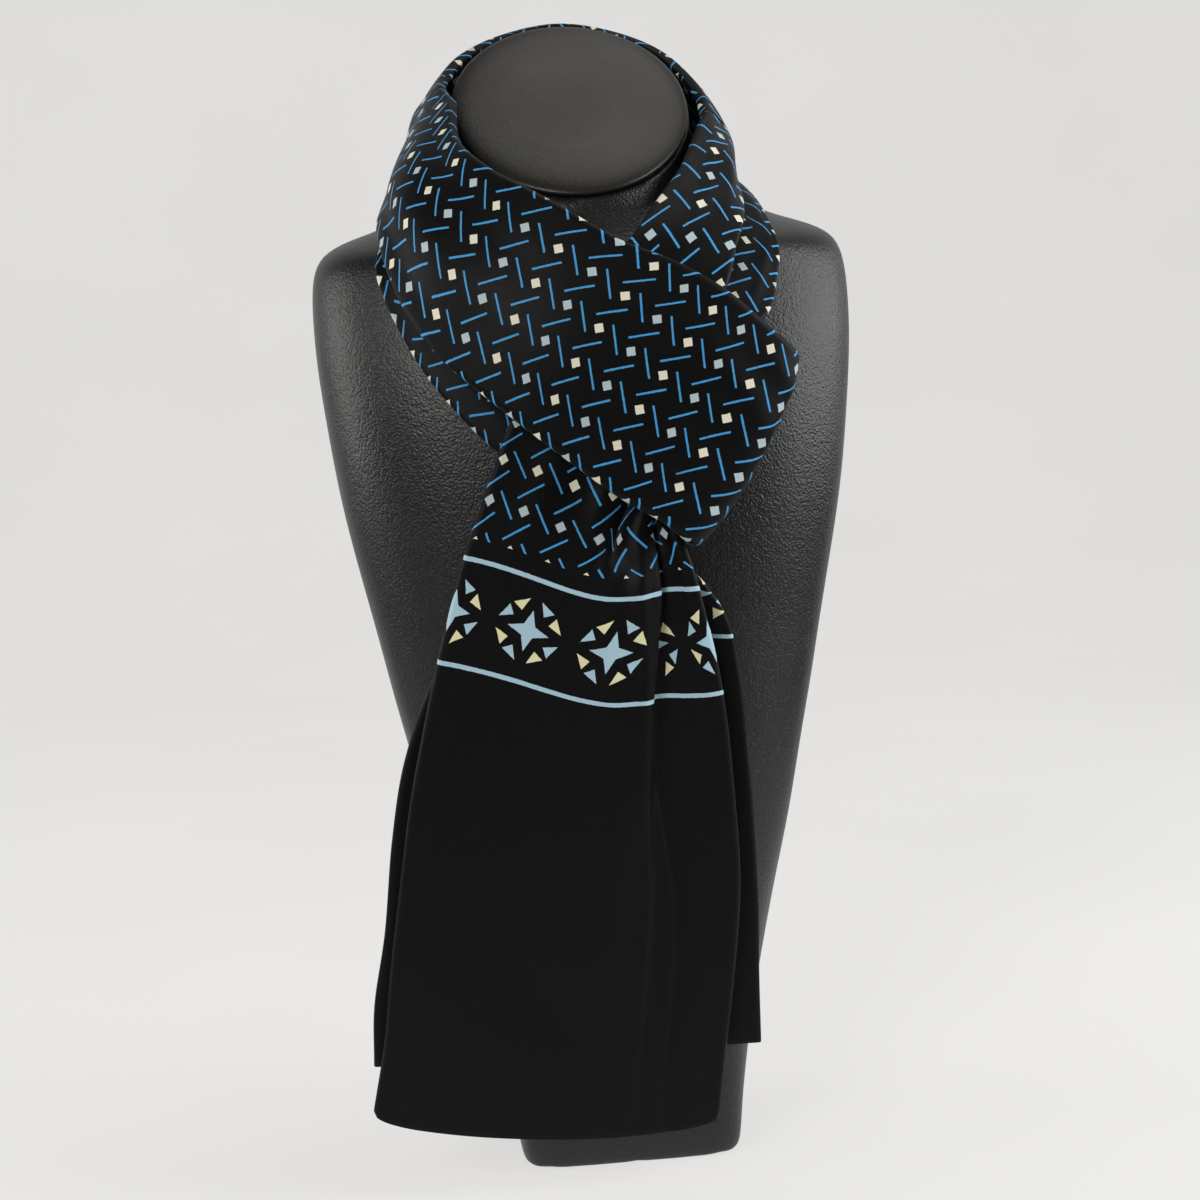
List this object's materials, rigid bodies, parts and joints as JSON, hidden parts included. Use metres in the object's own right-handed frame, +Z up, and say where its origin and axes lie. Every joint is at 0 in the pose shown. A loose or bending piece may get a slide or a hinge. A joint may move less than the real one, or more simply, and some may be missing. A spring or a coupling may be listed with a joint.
{
  "type": "printed scarf on a limbless display bust",
  "caption": "Doubled printed scarf, folded in half round the neck of a small limbless display bust, its ends drawn through the loop and hanging in front.",
  "frame": {"origin": "middle of the bust's flat foot", "axes": "+Z up, the front of the bust and both hanging ends face -Y, +X is to the viewer's right"},
  "size_m": [0.255, 0.2107, 0.5479],
  "materials": {
    "bust_leatherette": "fine pebble grain, satin",
    "cap_leatherette": "fine grain, satin",
    "printed_cloth": "smooth fine weave with a soft sheen, printed"
  },
  "bodies": {
    "root": {"form_body": "bust_leatherette", "form_neck_cap": "cap_leatherette", "loop_front": "printed_cloth", "loop_under": "printed_cloth", "wrap_back": "printed_cloth", "neck_upper": "printed_cloth", "neck_lower": "printed_cloth", "tail_front": "printed_cloth", "tail_back": "printed_cloth"}
  },
  "joints": []
}
